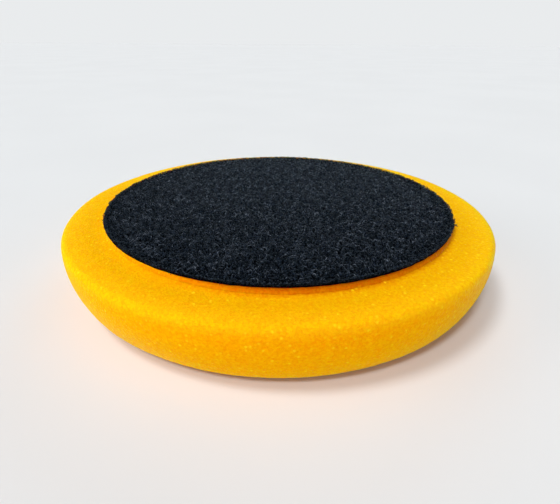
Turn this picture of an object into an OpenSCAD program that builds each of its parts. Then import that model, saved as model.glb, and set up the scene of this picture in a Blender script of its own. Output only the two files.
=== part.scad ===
// Foam polishing pad with a hook-and-loop back, lying on its working face.
// Millimetres. +Z points from the working face to the loop face, and the origin is the
// middle of the working face, on the surface that the pad lies on.
// The layers are bonded face to face: foam body, adhesive film, backing foam,
// ground fabric and loop pile.

/* [Foam body] */
// Widest diameter of the foam body
foam_d = 150; // [140:1:200]
// Thickness of the foam body, from the working face to the top of its rim
foam_h = 22; // [18:0.1:40]
// How far the side leans in towards the working face, in degrees
side_lean = 9; // [0:0.5:15]
// Radius of the corner between the top of the rim and the side
rim_corner_r = 2; // [1:0.1:5]
// Radius of the corner between the side and the working face
face_corner_r = 10; // [4:0.5:12]

/* [Loop back] */
// Diameter of the loop disc, cut to suit a 125 mm backing plate
loop_d = 123; // [80:1:128]
// Thickness of the thin foam that the loop fabric is laminated to
backing_foam_h = 1.7; // [0.8:0.1:4]
// Thickness of the knitted ground fabric
ground_h = 0.4; // [0.2:0.05:1]
// Height of the loop pile above the ground fabric
pile_h = 0.7; // [0.4:0.05:2.5]
// Radius that the pile rolls over at the cut edge of the disc
pile_edge_r = 0.35; // [0.1:0.05:0.35]

/* [Adhesive] */
// Thickness of the hot-melt film between the foam body and the backing foam
film_h = 0.2; // [0.1:0.05:0.5]
// How far the edge of the film stays inside the edge of the loop disc
film_margin = 1; // [0:0.1:5]

/* [Hidden] */
$fn = 96;

// Colours
foam_colour = "orange";
film_colour = "wheat";
ground_colour = "black";
pile_colour = "darkslategray";

// Levels of the bonded faces above the working face
film_z = foam_h;
backing_foam_z = film_z + film_h;
ground_z = backing_foam_z + backing_foam_h;
pile_z = ground_z + ground_h;

// The film stops short of the loop disc's edge all round
film_d = loop_d - 2 * film_margin;

// Centres of the two corner arcs in the foam's half section, as [radius, height].
// The side is tangent to both arcs, so the lower centre follows from the upper one.
rim_arc = [foam_d / 2 - rim_corner_r, foam_h - rim_corner_r];
side_normal = [cos(side_lean), -sin(side_lean)];
side_reach = rim_arc * side_normal + rim_corner_r;
face_arc_r = (side_reach - face_corner_r - face_corner_r * side_normal[1]) / side_normal[0];
face_arc = [face_arc_r, face_corner_r];

// The straight side runs this far inside the arcs, so that they cross cleanly where they meet
side_inset = 0.002;

// Quarter disc on the outer side of its centre, above the centre or below it
module outer_quarter(centre, r, above) {
    intersection() {
        translate(centre) circle(r = r);
        translate(centre - [0, above ? 0 : r]) square(r);
    }
}

// Half section of the foam body: straight stretches that run to the arcs' centres,
// with a round corner about each centre
module foam_section() {
    polygon([
        [0, 0],
        [face_arc[0], 0],
        face_arc,
        face_arc + (face_corner_r - side_inset) * side_normal,
        rim_arc + (rim_corner_r - side_inset) * side_normal,
        rim_arc,
        [rim_arc[0], foam_h],
        [0, foam_h],
    ]);
    outer_quarter(face_arc, face_corner_r, above = false);
    translate(rim_arc) circle(r = rim_corner_r);
}

// Half section of a flat disc whose upper edge is rolled over
module rolled_disc_section(r, h, edge_r) {
    edge_arc = [r - edge_r, h - edge_r];
    polygon([
        [0, 0],
        [r, 0],
        [r, edge_arc[1]],
        edge_arc,
        [edge_arc[0], h],
        [0, h],
    ]);
    outer_quarter(edge_arc, edge_r, above = true);
}

// Open-cell polishing foam
module foam_body() {
    color(foam_colour) rotate_extrude() foam_section();
}

// Hot-melt film that bonds the loop back to the foam body
module adhesive_film() {
    color(film_colour)
        translate([0, 0, film_z])
            cylinder(d = film_d, h = film_h);
}

// Thin foam under the fabric, cut together with it
module backing_foam() {
    color(foam_colour)
        translate([0, 0, backing_foam_z])
            cylinder(d = loop_d, h = backing_foam_h);
}

// Knitted base that the loops are anchored in
module ground_fabric() {
    color(ground_colour)
        translate([0, 0, ground_z])
            cylinder(d = loop_d, h = ground_h);
}

// Space that the brushed loops fill
module loop_pile() {
    color(pile_colour)
        translate([0, 0, pile_z])
            rotate_extrude()
                rolled_disc_section(loop_d / 2, pile_h, pile_edge_r);
}

foam_body();
adhesive_film();
backing_foam();
ground_fabric();
loop_pile();
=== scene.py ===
"""Foam polishing pad with a hook-and-loop back, lying on its working face on a pale floor.

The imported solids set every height. The foam body, the backing foam, the knitted ground and the
loop pile are modelled here as soft pieces that replace their plain solids.
"""
import math

import bpy
import numpy as np
from mathutils import Matrix, Vector, noise


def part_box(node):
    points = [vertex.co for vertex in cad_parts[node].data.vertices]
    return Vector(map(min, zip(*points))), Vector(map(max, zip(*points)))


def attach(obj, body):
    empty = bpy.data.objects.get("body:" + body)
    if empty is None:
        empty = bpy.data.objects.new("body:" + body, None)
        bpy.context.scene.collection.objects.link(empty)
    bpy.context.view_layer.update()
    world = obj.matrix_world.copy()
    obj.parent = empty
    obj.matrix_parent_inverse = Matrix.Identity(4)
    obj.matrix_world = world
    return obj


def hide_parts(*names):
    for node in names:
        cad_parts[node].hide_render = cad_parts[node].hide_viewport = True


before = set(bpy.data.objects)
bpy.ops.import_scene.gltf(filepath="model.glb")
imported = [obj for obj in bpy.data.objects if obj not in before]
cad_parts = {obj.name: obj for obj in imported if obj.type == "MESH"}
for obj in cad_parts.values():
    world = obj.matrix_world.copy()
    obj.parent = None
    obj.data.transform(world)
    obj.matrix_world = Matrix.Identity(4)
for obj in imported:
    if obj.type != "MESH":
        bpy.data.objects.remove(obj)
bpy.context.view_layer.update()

MM = 0.001
BODY = "root"
BAKE_MAP = "OFBake"

# Sizes that the solids are made from, in metres: the foam, its two corners and the loop disc
FOAM_R = 75 * MM
RIM_CORNER_R = 2 * MM
FACE_CORNER_R = 10 * MM
LOOP_R = 61.5 * MM

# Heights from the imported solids
FOAM_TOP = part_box("foam_body")[1].z
BACKING_LOW, BACKING_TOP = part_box("backing_foam")[0].z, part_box("backing_foam")[1].z
GROUND_LOW, GROUND_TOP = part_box("ground_fabric")[0].z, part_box("ground_fabric")[1].z
PILE_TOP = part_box("loop_pile")[1].z

# The back is pressed on a little unevenly: on one side its edge shows, elsewhere the foam swells over it
SHOWN_SIDE = math.radians(-52)
SHOWN_FROM, SHOWN_FULL = 0.25, 0.9

# Foam body: the steps of its mesh, and a side that swells a little past the solid's straight one
FOAM_STEP = 0.52 * MM
FACE_STEP = 0.95 * MM
FACE_MIDDLE_R = 3 * FACE_STEP
SWOLLEN_R = FOAM_R - 0.15 * MM
SIDE_ARC_R = 26 * MM
SIDE_FROM = math.radians(6)

# Bead of foam round the back, with the share of its height that is left where the back's edge shows
HIDDEN_TOP_R = LOOP_R - 1.5 * MM
BEAD_R = LOOP_R - 0.2 * MM
BEAD_H = 0.9 * MM
BEAD_SHOWN = 0.25
BEAD_FLARE = 1.7 * MM
BEAD_STEPS = 5

# Cut foam has a slow waviness, and the grain of its cells
SLOW_HEIGHT, SLOW_LENGTH = 0.12 * MM, 24 * MM
GRAIN_HEIGHT = 0.07 * MM

# Waves of unevenness, as pairs of a height and a length. For the bead and the grain, the height is a share
BEAD_WAVES = ((0.3, 1.5 * MM),)
GRAIN_WAVES = ((1, 0.9 * MM), (0.6, 2.1 * MM))
CUT_WAVES = ((0.1 * MM, 1.3 * MM), (0.15 * MM, 8 * MM))
KNIT_WAVES = ((0.14 * MM, 2.5 * MM),)

# Baking map of the foam body: its turned band in strips, and its two flat ends above them
STRIPS = 6
STRIP_W, STRIP_H = 0.42, 0.21
STRIP_LEFT, STRIP_LOW = 0.02, 0.005
COLUMN_W, ROW_H = 0.5, 0.22
TOP_MAP_AT, TOP_MAP_W = (0.80, 0.83), 0.15
FACE_MAP_AT, FACE_MAP_W = (0.17, 0.83), 0.32

# Backing foam, cut back under the fabric and further where its edge shows
DISC_SEGMENTS = 720
BACKING_EDGE_R = LOOP_R - 0.03 * MM
BACKING_INNER_R = LOOP_R - 4 * MM
BACKING_STEPS = 8
SKIRT_R, SKIRT_Z = LOOP_R - 0.7 * MM, FOAM_TOP - 0.15 * MM
UNDERCUT = 0.25 * MM
UNDERCUT_SHOWN = 0.65 * MM

# Knitted ground: its edge, where the edge's rounding starts, and the rings that its flat faces close from
GROUND_EDGE_R = LOOP_R - 0.1 * MM
GROUND_ROUND_R = GROUND_EDGE_R - 0.12 * MM
GROUND_INNER_R = GROUND_EDGE_R - 1.2 * MM

# Loops on a triangular grid and in a close row at the edge, with the ranges in millimetres
PILE_SEED = 11
PILE_SECTORS = 4
PILE_REACH = LOOP_R - 0.35 * MM
LOOP_SPACING = 0.80 * MM
ROW_SHARE = 0.866
JITTER_SHARE = 0.36
LOOP_ROOT_Z = GROUND_TOP - 0.04 * MM
LOOP_STEPS = 6
LOOP_GAP = math.radians(56)
LOOP_BEND_R = (0.26, 0.56)
LOOP_HEIGHT = (0.36, 0.80)
LOOP_STRAND_R = (0.075, 0.12)
EDGE_LOOPS = 1300
EDGE_ROW_DEPTH = (0, 0.3)
EDGE_BAND_R = LOOP_R - 1.2 * MM
EDGE_LOOP_HEIGHT = (0.58, 1.02)
PILE_MAP_AT = (0.5, 0.5)
PILE_MAP_SCALE = 0.98 / (2 * LOOP_R + 2 * MM)

# Strands are tubes, whose sides are set off from a direction that no path follows
TUBE_SIDES = 3
OFF_PATH = np.array([0.31, 0.17, 0.94])
STRAND_STEPS = 6

# Frayed ends at the cut edge and one tuft, with the ranges in millimetres and the bends in radians
FRAY_SEED = 5
FRAY_COUNT, TUFT_COUNT = 90, 12
FRAY_ROOT_R, FRAY_ROOT_Z = LOOP_R - 0.45 * MM, GROUND_TOP + 0.15 * MM
FRAY_LENGTH, TUFT_LENGTH = (0.5, 1.2), (0.9, 1.6)
FRAY_SWERVE, TUFT_SWERVE_SHARE = 0.9, 0.2
FRAY_CURL, TUFT_CURL = 1.2, 0.4
FRAY_LIFT_SHARE = (-0.25, 0.35)
FRAY_STRAND_R = (0.04, 0.07)
TUFT_ANGLE, TUFT_SPREAD = math.radians(-21.3), 0.005

# Brushed fibres that lie over the loops, in the same units
BRUSHED_SEED = 17
BRUSHED_COUNT = 4500
BRUSHED_REACH, BRUSHED_ROOT_Z = LOOP_R - 2.8 * MM, GROUND_TOP + 0.1 * MM
BRUSHED_LENGTH = (0.9, 2.6)
BRUSHED_CREST = (0.45, 0.85)
BRUSHED_CURL = 0.9
BRUSHED_STRAND_R = (0.025, 0.045)

# Colours
# Painted light among the foam's colours: the side's deeper orange is painted shade, the ridge's paler
# yellow a painted highlight
SIDE_SHADE_AMBER = (0.98, 0.46, 0.001, 1)
RIDGE_HIGHLIGHT_AMBER = (0.97, 0.535, 0.003, 1)
RING_AMBER = (0.91, 0.465, 0.001, 1)
# Painted glint colour for a few foam cell windows
PAINTED_GLINT_AMBER = (1.0, 0.64, 0.012, 1)
# Painted shade round and under the disc's edge, deepest on the backing's strip
DISC_SHADE_AMBER = (0.80, 0.285, 0.001, 1)
SHADED_AMBER = (0.72, 0.235, 0.001, 1)
CELL_SHADE = (0.94, 0.72, 1.0, 1)
LOOP_BLACK = (0.0002, 0.0003, 0.0006, 1)
LOOP_GREY = (0.022, 0.032, 0.055, 1)
STRAND_BLACK = (0.06, 0.075, 0.10, 1)
STRAND_GREY = (0.38, 0.43, 0.51, 1)
KNIT_BLACK = (0.0004, 0.0006, 0.001, 1)
KNIT_GREY = (0.003, 0.004, 0.006, 1)
FILM_DULL = (0.78, 0.60, 0.28, 1)
FILM_MILKY = (0.86, 0.72, 0.42, 1)
FLOOR_DULL = (0.735, 0.738, 0.742, 1)
FLOOR_PALE = (0.75, 0.753, 0.757, 1)
WHITE = (1, 1, 1)
COOL_WHITE = (0.6, 0.85, 1.0)

# Most of a noise node's values lie between these two
NOISE_LOW, NOISE_HIGH = 0.3, 0.7

# Painted shade round the disc's edge, on both sides of it, and fainter where that edge doesn't show
DISC_SHADE_OUTSIDE, DISC_SHADE_INSIDE = 2.0 * MM, 0.5 * MM
DISC_SHADE_WANDER = 0.6 * MM
DISC_SHADE_GRAIN = 1.1 * MM
DISC_SHADE_FAINT = 0.3

# Painted light in the foam's tones: paler and yellower towards the rim's ridge as a painted highlight,
# and deeper orange down the side as painted shade. Light also sinks deeper into the foam towards the rim
# and comes through its edge.
SIDE_TONE_Z, EDGE_TONE_Z = FOAM_TOP - 4.6 * MM, FOAM_TOP - 1.3 * MM
RIDGE_FROM, RIDGE_FULL = 66 * MM, 74 * MM
SUNK_FROM, SUNK_FULL = 64 * MM, 70 * MM
SUNK_LEAST, SUNK_MOST = 0.5 * MM, 8 * MM

# Foam cells, the lumps and the blotches of colour among them, and the few windows with a painted glint,
# painted paler and made glossier
CELL_SIZE, CELL_DEPTH = 0.62 * MM, 0.45 * MM
LUMP_SIZE, LUMP_DEPTH = 0.9 * MM, 0.4 * MM
FOAM_BUMP = 0.45
BLOTCH_SIZE = 0.75 * MM
BLOTCH_LOW, BLOTCH_HIGH = 0.35, 0.65
WINDOW_SIZE = 1.0 * MM
WINDOW_CHANCE = 0.84
WINDOW_EDGE, WINDOW_MIDDLE = 0.6, 0.1
FOAM_ROUGHNESS, WINDOW_ROUGHNESS = 0.8, 0.45

# Patches of nylon that took the dye alike, the few pale ones above this chance, and an uneven gloss
DYE_SIZE = 0.45 * MM
DYE_CHANCE = 0.62
GLOSS_SIZE = 0.5 * MM
NYLON_ROUGHNESS = (0.35, 0.5)

# Ribs of the knit: a wave node's bands lie pi / 10 of its unit length apart, here about 1 mm
RIB_UNIT = 3.2 * MM
RIB_WOBBLE = 2.5
RIB_BUMP, RIB_DEPTH = 0.4, 0.2 * MM
KNIT_SIZE = 0.8 * MM
KNIT_ROUGHNESS = (0.7, 0.9)

# Streaks of the adhesive film, and patches of the floor
STREAK_SIZE = 4 * MM
FILM_ROUGHNESS = (0.3, 0.45)
PATCH_SIZE = 120 * MM

# Floor: half its width in metres, and how far it lies below the working face
FLOOR_HALF = 4.0
FLOOR_DROP = 0.05 * MM

# Lamps far away: azimuth from +Y towards -X, elevation, strength, width and colour, angles in degrees
LAMPS = {
    "key": (115, 65.5, 1.34, 16, WHITE),
    "front": (155, 53, 1.3, 10, WHITE),
    "low": (157, 8, 0.78, 50, WHITE),
    "right": (246, 10, 0.46, 36, WHITE),
    "left": (96, 20, 0.6, 40, WHITE),
    "back": (345, 17, 0.85, 36, COOL_WHITE),
}

# Light from all round, stronger the more it comes from one side, and the plain backdrop
BACKDROP = (0.8185, 0.836, 0.848, 1)
WORLD_COLOUR = (0.97, 0.985, 1.0, 1)
WORLD_SIDE = (-0.35, -0.1, 0.93)
WORLD_SPAN = (0.05, 1.0)
WORLD_STRENGTH = (0.04, 0.30)

# Camera, fitted to the outlines of the loop disc and the foam in the photograph
PHOTO_W = 560
FOCAL_PIXELS = 429
SENSOR_MM = 36
CAMERA_PITCH = math.radians(26.9)
CAMERA_ROLL = math.radians(0.42)
CAMERA_DISTANCE = 159.7 * MM
TARGET_RIGHT = -0.41 * MM
TARGET_UP = 19.89 * MM
CLIP_NEAR, CLIP_FAR = 0.01, 20


# Objects


def link(obj):
    """Puts a new object in the scene."""
    bpy.context.scene.collection.objects.link(obj)
    return obj


def mesh_piece(name, vertices, faces, uv=None):
    """A smooth-shaded mesh object, with its own map for baking where its face corners have one."""
    mesh = bpy.data.meshes.new(name)
    mesh.from_pydata(vertices, [], faces)
    if uv is not None:
        layer = mesh.uv_layers.new(name=BAKE_MAP)
        layer.data.foreach_set("uv", np.asarray(uv, np.float32).ravel())
    mesh.shade_smooth()
    return link(bpy.data.objects.new(name, mesh))


def paint(obj, material):
    """Gives an object one material."""
    obj.data.materials.clear()
    obj.data.materials.append(material)


def dress(piece, material, node):
    """Gives a piece its material and slot, and lets it stand for a solid on the one body."""
    paint(piece, material)
    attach(piece, BODY)
    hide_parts(node)
    return piece


# Materials


class Graph:
    """Short calls for building the nodes of a material, or of the world."""

    def __init__(self, owner):
        owner.use_nodes = True
        self.owner = owner
        self.nodes = owner.node_tree.nodes
        self.links = owner.node_tree.links
        self.shader = self.nodes.get("Principled BSDF")
        coordinates = self.add("ShaderNodeTexCoord")
        self.place = coordinates.outputs["Object"]
        self.way = coordinates.outputs["Generated"]

    def add(self, kind, **settings):
        """A new node with its settings."""
        node = self.nodes.new(kind)
        for key, value in settings.items():
            setattr(node, key, value)
        return node

    def wire(self, source, socket):
        """Links one node's output to another node's input."""
        self.links.new(source, socket)

    def feed(self, name, source):
        """Links an output to one of the shader's own sockets."""
        self.wire(source, self.shader.inputs[name])

    def set(self, **values):
        """Constant numbers on the shader's own sockets, with underscores for spaces."""
        for key, value in values.items():
            self.shader.inputs[key.replace("_", " ")].default_value = value

    def noise(self, size, detail=2.0, roughness=0.5, distortion=0.0):
        """Soft noise with features of about one size."""
        node = self.add("ShaderNodeTexNoise")
        node.inputs["Scale"].default_value = 1 / size
        node.inputs["Detail"].default_value = detail
        node.inputs["Roughness"].default_value = roughness
        node.inputs["Distortion"].default_value = distortion
        self.wire(self.place, node.inputs["Vector"])
        return node.outputs["Fac"]

    def cells(self, size):
        """A node of packed cells, each with a random colour and the distance from its middle."""
        node = self.add("ShaderNodeTexVoronoi")
        node.inputs["Scale"].default_value = 1 / size
        self.wire(self.place, node.inputs["Vector"])
        return node

    def chance(self, cells, channel):
        """A random number for each cell, from one channel of its colour."""
        split = self.add("ShaderNodeSeparateColor")
        self.wire(cells.outputs["Color"], split.inputs["Color"])
        return split.outputs[channel]

    def combine(self, operation, a, b):
        """One number worked out from two."""
        node = self.add("ShaderNodeMath", operation=operation)
        self.wire(a, node.inputs[0])
        self.wire(b, node.inputs[1])
        return node.outputs["Value"]

    def along(self, vector, direction):
        """How far a vector reaches along a direction."""
        node = self.add("ShaderNodeVectorMath", operation="DOT_PRODUCT")
        node.inputs[1].default_value = direction
        self.wire(vector, node.inputs[0])
        return node.outputs["Value"]

    def ramp(self, value, low, high, out_low=0.0, out_high=1.0, kind="SMOOTHSTEP"):
        """Takes the span from low to high over to another span, and clamps what lies outside it."""
        node = self.add("ShaderNodeMapRange", interpolation_type=kind)
        limits = {"From Min": low, "From Max": high, "To Min": out_low, "To Max": out_high}
        for key, number in limits.items():
            node.inputs[key].default_value = number
        self.wire(value, node.inputs["Value"])
        return node.outputs["Result"]

    def spread(self, source, out_low=0.0, out_high=1.0):
        """Noise that is spread over the whole of a span."""
        return self.ramp(source, NOISE_LOW, NOISE_HIGH, out_low, out_high)

    def mix(self, factor, a, b):
        """Mixes two colours, each a socket or four numbers."""
        node = self.add("ShaderNodeMix", data_type="RGBA")
        self.wire(factor, node.inputs["Factor"])
        for socket, colour in ((node.inputs[6], a), (node.inputs[7], b)):
            if isinstance(colour, tuple):
                socket.default_value = colour
            else:
                self.wire(colour, socket)
        return node.outputs[2]

    def tint(self, colour, factor):
        """A colour socket times a constant colour."""
        node = self.add("ShaderNodeMix", data_type="RGBA", blend_type="MULTIPLY")
        node.inputs["Factor"].default_value = 1
        self.wire(colour, node.inputs[6])
        node.inputs[7].default_value = factor
        return node.outputs[2]

    def bump(self, height, strength, distance, under=None):
        """A normal that is tilted by a height, on top of another bump where there is one."""
        node = self.add("ShaderNodeBump")
        node.inputs["Strength"].default_value = strength
        node.inputs["Distance"].default_value = distance
        self.wire(height, node.inputs["Height"])
        if under is not None:
            self.wire(under, node.inputs["Normal"])
        return node.outputs["Normal"]


def new_material(name):
    """The graph of a new material."""
    return Graph(bpy.data.materials.new(name))


def from_axis(graph):
    """The distance from the pad's axis."""
    flat = graph.add("ShaderNodeVectorMath", operation="MULTIPLY")
    flat.inputs[1].default_value = (1, 1, 0)
    graph.wire(graph.place, flat.inputs[0])
    radius = graph.add("ShaderNodeVectorMath", operation="LENGTH")
    graph.wire(flat.outputs["Vector"], radius.inputs[0])
    return radius.outputs["Value"]


def painted_disc_shade(graph, tone, disc_shade):
    """Painted shade round the disc's edge, stronger on the shaded side where that edge shows."""
    wander = graph.spread(graph.noise(DISC_SHADE_GRAIN), -DISC_SHADE_WANDER, DISC_SHADE_WANDER)
    reach = graph.combine("ADD", from_axis(graph), wander)
    near = graph.ramp(reach, LOOP_R + DISC_SHADE_OUTSIDE, LOOP_R - DISC_SHADE_INSIDE)
    side = graph.along(graph.place, (math.cos(SHOWN_SIDE), math.sin(SHOWN_SIDE), 0))
    shown = graph.ramp(side, SHOWN_FROM * LOOP_R, SHOWN_FULL * LOOP_R, DISC_SHADE_FAINT, 1.0)
    return graph.mix(graph.combine("MULTIPLY", near, shown), tone, disc_shade)


def cell_colour(graph, cell, tone):
    """The tone, made deeper by chance: half of that from cell to cell and half in blotches."""
    by_cell = graph.ramp(graph.chance(cell, "Green"), 0, 1, 0, 0.5)
    blotches = graph.noise(BLOTCH_SIZE, detail=3, roughness=0.7)
    by_blotch = graph.ramp(blotches, BLOTCH_LOW, BLOTCH_HIGH, 0, 0.5)
    deep = graph.tint(tone, CELL_SHADE)
    return graph.mix(graph.combine("ADD", by_cell, by_blotch), deep, tone)


def window_glint(graph):
    """Mask of the painted glints: one in the middle of a few cell windows, none elsewhere."""
    window = graph.cells(WINDOW_SIZE)
    lit = graph.ramp(graph.chance(window, "Red"), WINDOW_CHANCE, 1.0)
    middle = graph.ramp(window.outputs["Distance"], WINDOW_EDGE, WINDOW_MIDDLE)
    return graph.combine("MULTIPLY", lit, middle)


def foam_material(name, low, high, inner, disc_shade, pale, deep_rim=False):
    """Open-cell foam that light sinks into: a colour for each cell, and painted glints in pale windows.

    The low and high tones are pairs of a height and a colour: painted shade down the side and a
    painted highlight on the rim's ridge. The inner tone lies inside the rim's ridge. With a deep rim,
    light sinks further in towards the rim.
    """
    graph = new_material(name)
    height = graph.add("ShaderNodeSeparateXYZ")
    graph.wire(graph.place, height.inputs["Vector"])
    # Painted highlight: the top turns paler towards the rim's ridge
    top = graph.mix(graph.ramp(from_axis(graph), RIDGE_FROM, RIDGE_FULL), inner, high[1])
    # By height: the low tone below, the top's tone above; on the foam body the low tone is painted shade
    # down the side
    tone = graph.mix(graph.ramp(height.outputs["Z"], low[0], high[0]), low[1], top)
    # Painted shade round the disc's edge
    tone = painted_disc_shade(graph, tone, disc_shade)
    cell = graph.cells(CELL_SIZE)
    glint = window_glint(graph)
    # Painted glints: the few windows take the pale colour
    graph.feed("Base Color", graph.mix(glint, cell_colour(graph, cell, tone), pale))
    graph.feed("Roughness", graph.ramp(glint, 0, 1, FOAM_ROUGHNESS, WINDOW_ROUGHNESS))
    lumps = graph.bump(graph.noise(LUMP_SIZE, detail=3, roughness=0.6), FOAM_BUMP, LUMP_DEPTH)
    graph.feed("Normal", graph.bump(cell.outputs["Distance"], FOAM_BUMP, CELL_DEPTH, lumps))
    graph.set(
        Subsurface_Weight=1.0,
        Subsurface_Radius=(1.0, 0.3, 0.1),
        Subsurface_Scale=SUNK_LEAST,
        Specular_IOR_Level=0.0,
        Sheen_Weight=0.2,
        Sheen_Roughness=0.2,
        Sheen_Tint=(1.0, 0.88, 0.7, 1.0),
    )
    if deep_rim:
        sunk = graph.ramp(from_axis(graph), SUNK_FROM, SUNK_FULL, SUNK_LEAST, SUNK_MOST)
        graph.feed("Subsurface Scale", sunk)
    return graph.owner


def nylon_material(name, dark, pale):
    """Black nylon, paler from place to place, that shines coolly where light grazes it."""
    graph = new_material(name)
    dye = graph.ramp(graph.chance(graph.cells(DYE_SIZE), "Red"), DYE_CHANCE, 1.0)
    graph.feed("Base Color", graph.mix(dye, dark, pale))
    graph.feed("Roughness", graph.spread(graph.noise(GLOSS_SIZE), *NYLON_ROUGHNESS))
    graph.set(Specular_IOR_Level=0.2, Specular_Tint=(0.4, 0.68, 1.0, 1.0))
    return graph.owner


def ground_material():
    """Black warp knit: fine ribs and a woven grain."""
    graph = new_material("loop_ground")
    ribs = graph.add("ShaderNodeTexWave", wave_type="BANDS", bands_direction="X")
    ribs.inputs["Scale"].default_value = 1 / RIB_UNIT
    ribs.inputs["Distortion"].default_value = RIB_WOBBLE
    graph.wire(graph.place, ribs.inputs["Vector"])
    graph.feed("Base Color", graph.mix(ribs.outputs["Fac"], KNIT_BLACK, KNIT_GREY))
    graph.feed("Roughness", graph.spread(graph.noise(KNIT_SIZE), *KNIT_ROUGHNESS))
    graph.feed("Normal", graph.bump(ribs.outputs["Fac"], RIB_BUMP, RIB_DEPTH))
    graph.set(Specular_IOR_Level=0.0)
    return graph.owner


def film_material():
    """Milky hot-melt film with faint streaks."""
    graph = new_material("adhesive")
    streak = graph.spread(graph.noise(STREAK_SIZE, detail=3, roughness=0.6, distortion=1.0))
    graph.feed("Base Color", graph.mix(streak, FILM_DULL, FILM_MILKY))
    graph.feed("Roughness", graph.ramp(streak, 0, 1, *FILM_ROUGHNESS))
    return graph.owner


def floor_material():
    """Plain pale tabletop with the faintest unevenness."""
    graph = new_material("floor")
    graph.feed("Base Color", graph.mix(graph.spread(graph.noise(PATCH_SIZE)), FLOOR_DULL, FLOOR_PALE))
    graph.set(Roughness=0.9, Specular_IOR_Level=0.0)
    return graph.owner


# Shapes that the layers share


def unevenness(place, waves):
    """Noise at a place, summed over waves that each have a height and a length."""
    return sum(height * noise.noise(Vector(place) / length) for height, length in waves)


def edge_shown(x, y):
    """One on the side where the edge of the back shows, none where the foam swells over it."""
    side = np.cos(np.arctan2(y, x) - SHOWN_SIDE)
    part = np.clip((side - SHOWN_FROM) / (SHOWN_FULL - SHOWN_FROM), 0, 1)
    return part * part * (3 - 2 * part)


def revolve(profile, segments):
    """Rings of vertices about Z, one ring for each point of the profile, and the faces between them."""
    angles = np.linspace(0, 2 * math.pi, segments, endpoint=False)
    rings = [np.c_[r * np.cos(angles), r * np.sin(angles), np.full(segments, z)] for r, z in profile]
    faces = []
    for k in range(len(profile) - 1):
        this, following = k * segments, (k + 1) * segments
        for i in range(segments):
            j = (i + 1) % segments
            faces.append((this + i, following + i, following + j, this + j))
    return np.vstack(rings), faces


def fan(ring, middle, facing_down=False):
    """Triangles from a closed ring of vertices to its middle one."""
    pairs = zip(ring, ring[1:] + ring[:1])
    return [(b, a, middle) if facing_down else (a, b, middle) for a, b in pairs]


def disc_map(vertices, faces, centre, scale):
    """Map corners of faces that are seen along Z."""
    corners = (vertices[v] for face in faces for v in face)
    return [(centre[0] + scale * x, centre[1] + scale * y) for x, y, _ in corners]


# Foam body


def arc(centre, radius, start, stop, step):
    """Points on an arc in the half section, by the angle of its outward normal."""
    count = max(2, round(radius * abs(stop - start) / step))
    angles = [start + (stop - start) * i / count for i in range(count + 1)]
    return [(centre[0] + radius * math.cos(a), centre[1] + radius * math.sin(a)) for a in angles]


def straight(start, end, step):
    """Points between two points of the half section, ends left out."""
    count = max(1, round(math.dist(start, end) / step))
    return [tuple(a + (b - a) * i / count for a, b in zip(start, end)) for i in range(1, count)]


def bead():
    """The foam swells up round the back that is pressed on to it, from the hidden top out to the rim."""
    points = [(HIDDEN_TOP_R, FOAM_TOP), (BEAD_R, FOAM_TOP)]
    for i in range(BEAD_STEPS + 1):
        turn = math.pi / 2 * i / BEAD_STEPS
        out, up = BEAD_FLARE * (1 - math.cos(turn)), BEAD_H * (1 - math.sin(turn))
        points.append((BEAD_R + out, FOAM_TOP + up))
    return points


def foam_profile():
    """Half section from under the loop disc, over the rim and down the swollen side to the flat face."""
    rim = (SWOLLEN_R - RIM_CORNER_R, FOAM_TOP - RIM_CORNER_R)
    rim_off, face_off = SIDE_ARC_R - RIM_CORNER_R, SIDE_ARC_R - FACE_CORNER_R
    middle = (rim[0] - rim_off * math.cos(SIDE_FROM), rim[1] - rim_off * math.sin(SIDE_FROM))
    # Each arc runs on into the next where both have the same normal
    side_to = math.asin((FACE_CORNER_R - middle[1]) / face_off)
    face = (middle[0] + face_off * math.cos(side_to), FACE_CORNER_R)
    upper = arc(rim, RIM_CORNER_R, math.pi / 2, SIDE_FROM, FOAM_STEP)
    side = arc(middle, SIDE_ARC_R, SIDE_FROM, side_to, FOAM_STEP)
    lower = arc(face, FACE_CORNER_R, side_to, -math.pi / 2, FOAM_STEP)
    start = bead()
    ring = straight(start[-1], upper[0], FOAM_STEP)
    return start + ring + upper + side[1:-1] + lower


def lower_bead(points):
    """Makes the bead uneven, and lower on the side where the edge of the back shows."""
    swollen = points[:, 2] > FOAM_TOP
    height = 1 - (1 - BEAD_SHOWN) * edge_shown(points[swollen, 0], points[swollen, 1])
    height += np.array([unevenness(p, BEAD_WAVES) for p in points[swollen]])
    points[swollen, 2] = FOAM_TOP + (points[swollen, 2] - FOAM_TOP) * height


def stitch(outer, inner):
    """Triangles between two closed rings that have different counts of vertices."""
    faces = []
    i, j = 0, 0
    outer_count, inner_count = len(outer), len(inner)
    while i < outer_count or j < inner_count:
        start, across = outer[i % outer_count], inner[j % inner_count]
        # The ring that lags behind takes the next step
        if i < outer_count and i * inner_count <= j * outer_count:
            i += 1
            faces.append((start, across, outer[i % outer_count]))
        else:
            j += 1
            faces.append((start, across, inner[j % inner_count]))
    return faces


def close_face(vertices, ring, radius):
    """Fills the flat working face inside its outer ring, by rings that shrink to the middle."""
    faces = []
    while radius > FACE_MIDDLE_R:
        radius -= FACE_STEP
        count = round(2 * math.pi * radius / FACE_STEP)
        inner = list(range(len(vertices), len(vertices) + count))
        for i in range(count):
            turn = 2 * math.pi * i / count
            vertices.append((radius * math.cos(turn), radius * math.sin(turn), 0))
        faces += stitch(ring, inner)
        ring = inner
    vertices.append((0, 0, 0))
    return faces + fan(ring, len(vertices) - 1, facing_down=True)


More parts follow.
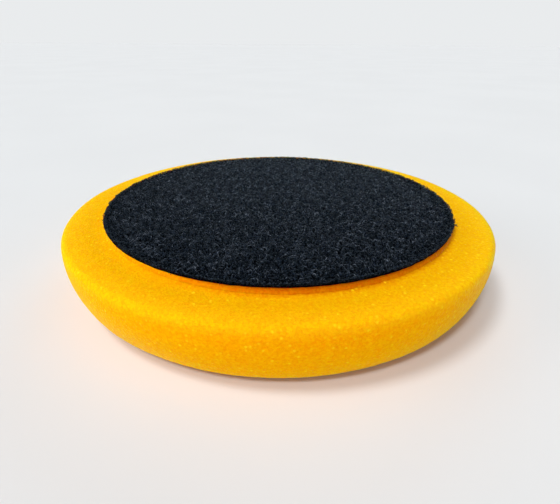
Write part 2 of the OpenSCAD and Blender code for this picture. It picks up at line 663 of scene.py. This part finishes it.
def strip_map(rings, segments):
    """Map corners of a revolved band, cut into equal strips that are stacked in two columns."""
    run = segments // STRIPS
    corners = []
    for k in range(rings - 1):
        for i in range(segments):
            strip, place = divmod(i, run)
            left, low = (strip % 2) * COLUMN_W + STRIP_LEFT, (strip // 2) * ROW_H + STRIP_LOW
            u = [left + STRIP_W * (place + d) / run for d in (0, 1)]
            v = [low + STRIP_H * (k + d) / (rings - 1) for d in (0, 1)]
            corners += [(u[0], v[0]), (u[0], v[1]), (u[1], v[1]), (u[1], v[0])]
    return corners


def roughen(piece):
    """Moves each vertex along its normal: a slow waviness of cut foam and the grain of its cells."""
    mesh = piece.data
    places = np.zeros(len(mesh.vertices) * 3, np.float32)
    normals = np.zeros_like(places)
    mesh.vertices.foreach_get("co", places)
    mesh.vertices.foreach_get("normal", normals)
    places, normals = places.reshape(-1, 3), normals.reshape(-1, 3)
    shifts = np.zeros(len(places), np.float32)
    for i, place in enumerate(places):
        slow = noise.noise(Vector(place) / SLOW_LENGTH) - 1
        shifts[i] = SLOW_HEIGHT * slow + GRAIN_HEIGHT * unevenness(place, GRAIN_WAVES)
    places += normals * shifts[:, None]
    places[:, 2] = np.maximum(places[:, 2], 0)
    mesh.vertices.foreach_set("co", places.ravel())
    mesh.update()


def make_foam_body(material):
    """The turned block of foam, closed by a hidden top under the disc and by the working face."""
    profile = foam_profile()
    segments = STRIPS * round(2 * math.pi * FOAM_R / FOAM_STEP / STRIPS)
    points, faces = revolve(profile, segments)
    lower_bead(points)
    vertices = [tuple(p) for p in points]
    vertices.append((0, 0, FOAM_TOP))
    top = fan(list(range(segments)), len(vertices) - 1)
    last = (len(profile) - 1) * segments
    face_r = profile[-1][0]
    base = close_face(vertices, list(range(last, last + segments)), face_r)
    corners = strip_map(len(profile), segments)
    corners += disc_map(vertices, top, TOP_MAP_AT, TOP_MAP_W / (2 * LOOP_R))
    corners += disc_map(vertices, base, FACE_MAP_AT, FACE_MAP_W / (2 * face_r))
    piece = mesh_piece("foam_body_soft", vertices, faces + top + base, corners)
    roughen(piece)
    return dress(piece, material, "foam_body")


# Backing foam and knitted ground


def moved_out(point, distance):
    """A point moved away from the axis."""
    radial = Vector((point[0], point[1], 0)).normalized()
    return tuple(Vector(point) + radial * distance)


def closed_disc(name, profile, shift):
    """A revolved band, closed at both ends, with each point moved out as far as the shift says."""
    points, faces = revolve(profile, DISC_SEGMENTS)
    vertices = [moved_out(p, shift(p)) for p in points]
    top, low = len(vertices), len(vertices) + 1
    vertices += [(0, 0, profile[0][1]), (0, 0, profile[-1][1])]
    ring = list(range(DISC_SEGMENTS))
    last = (len(profile) - 1) * DISC_SEGMENTS
    faces += fan(ring, top)
    faces += fan([last + i for i in ring], low, facing_down=True)
    return mesh_piece(name, vertices, faces)


def backing_shift(point):
    """The edge of the backing foam is cut back unevenly, and further the higher up."""
    if math.hypot(point[0], point[1]) <= SKIRT_R:
        return 0
    height = max(0, point[2] - BACKING_LOW) / (BACKING_TOP - BACKING_LOW)
    undercut = UNDERCUT + UNDERCUT_SHOWN * edge_shown(point[0], point[1])
    return -(undercut + unevenness(point, CUT_WAVES)) * height


def make_backing_foam(material):
    """The thin foam under the fabric, cut back under the fabric's edge. Its skirt covers the seam with the
    foam body.
    """
    profile = [(BACKING_INNER_R, BACKING_TOP)]
    for i in range(BACKING_STEPS + 1):
        profile.append((BACKING_EDGE_R, BACKING_TOP + (SKIRT_Z - BACKING_TOP) * i / BACKING_STEPS))
    profile += [(SKIRT_R, SKIRT_Z), (SKIRT_R, BACKING_LOW), (BACKING_INNER_R, BACKING_LOW)]
    piece = closed_disc("backing_foam_soft", profile, backing_shift)
    return dress(piece, material, "backing_foam")


def ground_shift(point):
    """The knitted ground's cut edge wanders a little."""
    return unevenness(point, KNIT_WAVES)


def make_ground(material):
    """The knitted base: a thin disc with a rounded edge."""
    profile = [
        (GROUND_INNER_R, GROUND_TOP),
        (GROUND_ROUND_R, GROUND_TOP),
        (GROUND_EDGE_R, (GROUND_TOP + GROUND_LOW) / 2),
        (GROUND_ROUND_R, GROUND_LOW),
        (GROUND_INNER_R, GROUND_LOW),
    ]
    piece = closed_disc("loop_ground_cloth", profile, ground_shift)
    return dress(piece, material, "ground_fabric")


# Loops and loose strands


def unit(vectors):
    """Vectors brought to a length of one."""
    return vectors / np.linalg.norm(vectors, axis=-1, keepdims=True)


def tubes(paths, radii):
    """Closed thin tubes along many paths of equal count: paths is (tubes, points, 3)."""
    count, steps = paths.shape[:2]
    ahead = np.gradient(paths, axis=1)
    across = unit(np.cross(ahead, OFF_PATH))
    over = unit(np.cross(ahead, across))
    turns = 2 * math.pi * np.arange(TUBE_SIDES) / TUBE_SIDES
    ring = np.cos(turns)[:, None] * across[:, :, None] + np.sin(turns)[:, None] * over[:, :, None]
    vertices = paths[:, :, None] + radii[:, None, None, None] * ring
    number = np.arange(count * steps * TUBE_SIDES).reshape(count, steps, TUBE_SIDES)
    beside = np.roll(number, -1, axis=2)
    walls = np.stack([number[:, :-1], beside[:, :-1], beside[:, 1:], number[:, 1:]], axis=-1)
    ends = np.concatenate([number[:, 0, ::-1], number[:, -1]])
    return vertices.reshape(-1, 3), walls.reshape(-1, 4).tolist() + ends.tolist()


def loop_feet(rng):
    """Places on a jittered triangular grid, and in a close row at the edge."""
    rows = int(PILE_REACH / (LOOP_SPACING * ROW_SHARE)) + 1
    row, column = np.meshgrid(np.arange(-rows, rows + 1), np.arange(-rows, rows + 1), indexing="ij")
    x = (column + 0.5 * (row % 2)).ravel() * LOOP_SPACING
    y = row.ravel() * LOOP_SPACING * ROW_SHARE
    grid = np.c_[x, y] + rng.uniform(-JITTER_SHARE, JITTER_SHARE, (len(x), 2)) * LOOP_SPACING
    grid = grid[np.hypot(grid[:, 0], grid[:, 1]) < PILE_REACH]
    angles = np.linspace(0, 2 * math.pi, EDGE_LOOPS, endpoint=False)
    reach = PILE_REACH - rng.uniform(*EDGE_ROW_DEPTH, EDGE_LOOPS) * MM
    feet = np.vstack([grid, np.c_[reach * np.cos(angles), reach * np.sin(angles)]])
    return np.c_[feet, np.full(len(feet), LOOP_ROOT_Z)]


def loop_paths(rng, feet):
    """Each loop is most of a circle that stands in the ground and is brushed over at random."""
    count = len(feet)
    radius = rng.uniform(*LOOP_BEND_R, count) * MM
    at_edge = np.hypot(feet[:, 0], feet[:, 1]) > EDGE_BAND_R
    least = np.where(at_edge, EDGE_LOOP_HEIGHT[0], LOOP_HEIGHT[0])
    most = np.where(at_edge, EDGE_LOOP_HEIGHT[1], LOOP_HEIGHT[1])
    height = rng.uniform(least, most) * MM
    heading = rng.uniform(0, 2 * math.pi, count)
    upright = np.minimum(height / (2 * radius), 1)
    along = np.c_[np.cos(heading), np.sin(heading), np.zeros(count)]
    aside = np.c_[-np.sin(heading), np.cos(heading), np.zeros(count)]
    rise = aside * np.sqrt(1 - upright ** 2)[:, None] + np.array([0, 0, 1]) * upright[:, None]
    angles = np.linspace(-math.pi / 2 + LOOP_GAP / 2, 1.5 * math.pi - LOOP_GAP / 2, LOOP_STEPS)
    centres = feet + rise * (radius * math.cos(LOOP_GAP / 2))[:, None]
    round_about = np.cos(angles)[:, None] * along[:, None] + np.sin(angles)[:, None] * rise[:, None]
    return centres[:, None] + radius[:, None, None] * round_about


def make_pile(material):
    """The loops, in sectors so that no mesh is too heavy."""
    rng = np.random.default_rng(PILE_SEED)
    feet = loop_feet(rng)
    paths = loop_paths(rng, feet)
    radii = rng.uniform(*LOOP_STRAND_R, len(feet)) * MM
    turn = np.arctan2(feet[:, 1], feet[:, 0]) / (2 * math.pi) % 1
    sector = (turn * PILE_SECTORS).astype(int)
    pieces = []
    for number in range(PILE_SECTORS):
        mine = sector == number
        vertices, faces = tubes(paths[mine], radii[mine])
        corners = disc_map(vertices, faces, PILE_MAP_AT, PILE_MAP_SCALE)
        piece = mesh_piece(f"loop_pile_{number}", vertices.tolist(), faces, corners)
        pieces.append(dress(piece, material, "loop_pile"))
    return pieces


def strand_paths(starts, heading, curl, lengths, heights):
    """Paths that set off from their starts and bend steadily, at the given height for each step."""
    along = np.linspace(0, 1, STRAND_STEPS)
    turn = heading[:, None] + curl[:, None] * along
    stride = lengths[:, None] / (STRAND_STEPS - 1)
    x = starts[:, :1] + np.cumsum(np.cos(turn) * stride, axis=1)
    y = starts[:, 1:] + np.cumsum(np.sin(turn) * stride, axis=1)
    return np.stack([x, y, heights], axis=-1)


def strand_piece(name, paths, radii, material):
    """Strands among the loops, as one piece of the pile."""
    vertices, faces = tubes(paths, radii)
    piece = mesh_piece(name, vertices.tolist(), faces)
    return dress(piece, material, "loop_pile")


def make_loose_fibres(material):
    """Frayed ends along the cut edge of the fabric, and one tuft that sticks out."""
    rng = np.random.default_rng(FRAY_SEED)
    frayed = rng.uniform(0, 2 * math.pi, FRAY_COUNT)
    angles = np.r_[frayed, TUFT_ANGLE + rng.normal(0, TUFT_SPREAD, TUFT_COUNT)]
    lengths = np.r_[rng.uniform(*FRAY_LENGTH, FRAY_COUNT), rng.uniform(*TUFT_LENGTH, TUFT_COUNT)] * MM
    swerve = rng.normal(0, FRAY_SWERVE, len(angles))
    swerve[FRAY_COUNT:] *= TUFT_SWERVE_SHARE
    curl = np.r_[rng.normal(0, FRAY_CURL, FRAY_COUNT), rng.normal(0, TUFT_CURL, TUFT_COUNT)]
    lift = rng.uniform(*FRAY_LIFT_SHARE, len(angles))
    starts = FRAY_ROOT_R * np.c_[np.cos(angles), np.sin(angles)]
    climb = (lengths * lift)[:, None] * np.linspace(0, 1, STRAND_STEPS)
    paths = strand_paths(starts, angles + swerve, curl, lengths, FRAY_ROOT_Z + climb)
    radii = rng.uniform(*FRAY_STRAND_R, len(angles)) * MM
    return strand_piece("loose_fibres", paths, radii, material)


def make_brushed_fibres(material):
    """Fine filaments that the brush has pulled across the loops, rooted among them at both ends."""
    rng = np.random.default_rng(BRUSHED_SEED)
    angles = rng.uniform(0, 2 * math.pi, BRUSHED_COUNT)
    reach = BRUSHED_REACH * np.sqrt(rng.uniform(0, 1, BRUSHED_COUNT))
    starts = reach[:, None] * np.c_[np.cos(angles), np.sin(angles)]
    heading = rng.uniform(0, 2 * math.pi, BRUSHED_COUNT)
    curl = rng.normal(0, BRUSHED_CURL, BRUSHED_COUNT)
    lengths = rng.uniform(*BRUSHED_LENGTH, BRUSHED_COUNT) * MM
    crest = rng.uniform(*BRUSHED_CREST, BRUSHED_COUNT) * MM
    arch = np.sin(np.linspace(0, math.pi, STRAND_STEPS))
    paths = strand_paths(starts, heading, curl, lengths, BRUSHED_ROOT_Z + crest[:, None] * arch)
    radii = rng.uniform(*BRUSHED_STRAND_R, BRUSHED_COUNT) * MM
    return strand_piece("brushed_fibres", paths, radii, material)


# Stage


def make_floor():
    """A wide flat tabletop just under the working face."""
    signs = ((-1, -1), (1, -1), (1, 1), (-1, 1))
    corners = [(x * FLOOR_HALF, y * FLOOR_HALF, 0) for x, y in signs]
    floor = mesh_piece("floor", corners, [(0, 1, 2, 3)])
    floor.location.z = -FLOOR_DROP
    paint(floor, floor_material())


def soft_sun(name, azimuth, elevation, strength, width, colour):
    """A wide lamp that shines on the pad from an azimuth and an elevation."""
    data = bpy.data.lights.new(name, "SUN")
    data.energy = strength
    data.angle = math.radians(width)
    data.color = colour
    lamp = link(bpy.data.objects.new(name, data))
    turn, rise = math.radians(azimuth), math.radians(elevation)
    flat = math.cos(rise)
    towards = Vector((-math.sin(turn) * flat, math.cos(turn) * flat, math.sin(rise)))
    lamp.rotation_euler = towards.to_track_quat("Z", "Y").to_euler()


def make_world():
    """Light from all round, more of it from above on the left.

    What is seen directly or mirrored is a plain backdrop.
    """
    world = bpy.data.worlds.new("studio")
    bpy.context.scene.world = world
    graph = Graph(world)
    light = graph.nodes["Background"]
    light.inputs["Color"].default_value = WORLD_COLOUR
    side = graph.along(graph.way, WORLD_SIDE)
    strength = graph.ramp(side, *WORLD_SPAN, *WORLD_STRENGTH, kind="LINEAR")
    graph.wire(strength, light.inputs["Strength"])
    backdrop = graph.add("ShaderNodeBackground")
    backdrop.inputs["Color"].default_value = BACKDROP
    rays = graph.add("ShaderNodeLightPath")
    seen = rays.outputs["Is Camera Ray"]
    for kind in ("Is Glossy Ray", "Is Transmission Ray"):
        seen = graph.combine("MAXIMUM", seen, rays.outputs[kind])
    pick = graph.add("ShaderNodeMixShader")
    graph.wire(seen, pick.inputs["Fac"])
    graph.wire(light.outputs["Background"], pick.inputs[1])
    graph.wire(backdrop.outputs["Background"], pick.inputs[2])
    graph.wire(pick.outputs["Shader"], graph.nodes["World Output"].inputs["Surface"])


def make_camera():
    """The photograph's view, from the front and above, with a slight roll."""
    forward = Vector((0, math.cos(CAMERA_PITCH), -math.sin(CAMERA_PITCH)))
    level = Vector((1, 0, 0))
    upright = level.cross(forward)
    right = math.cos(CAMERA_ROLL) * level + math.sin(CAMERA_ROLL) * upright
    up = math.cos(CAMERA_ROLL) * upright - math.sin(CAMERA_ROLL) * level
    target = Vector((0, 0, PILE_TOP))
    eye = target - CAMERA_DISTANCE * forward - TARGET_RIGHT * right - TARGET_UP * up
    data = bpy.data.cameras.new("camera")
    data.sensor_width = SENSOR_MM
    data.lens = FOCAL_PIXELS / PHOTO_W * SENSOR_MM
    data.clip_start, data.clip_end = CLIP_NEAR, CLIP_FAR
    camera = link(bpy.data.objects.new("camera", data))
    turn = Matrix((right, up, -forward)).transposed().to_4x4()
    camera.matrix_world = Matrix.Translation(eye) @ turn
    bpy.context.scene.camera = camera


bpy.context.scene.view_settings.view_transform = "Standard"
make_camera()
make_world()
for lamp_name, lamp_settings in LAMPS.items():
    soft_sun(lamp_name, *lamp_settings)
make_floor()

amber = foam_material(
    "foam",
    (SIDE_TONE_Z, SIDE_SHADE_AMBER),
    (EDGE_TONE_Z, RIDGE_HIGHLIGHT_AMBER),
    RING_AMBER,
    DISC_SHADE_AMBER,
    PAINTED_GLINT_AMBER,
    deep_rim=True,
)
# The backing foam is painted in shade, as its strip under the fabric's edge lies in shadow; its few
# glinting windows take a shade colour too
shaded_backing_amber = foam_material(
    "backing_foam",
    (FOAM_TOP, RING_AMBER),
    (BACKING_TOP, SIDE_SHADE_AMBER),
    SIDE_SHADE_AMBER,
    SHADED_AMBER,
    DISC_SHADE_AMBER,
)

foam = make_foam_body(amber)
backing = make_backing_foam(shaded_backing_amber)
ground = make_ground(ground_material())
loop_nylon = nylon_material("loop_pile", LOOP_BLACK, LOOP_GREY)
strand_nylon = nylon_material("loose_nylon", STRAND_BLACK, STRAND_GREY)
pile = make_pile(loop_nylon) + [make_loose_fibres(loop_nylon), make_brushed_fibres(strand_nylon)]
paint(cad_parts["adhesive_film"], film_material())
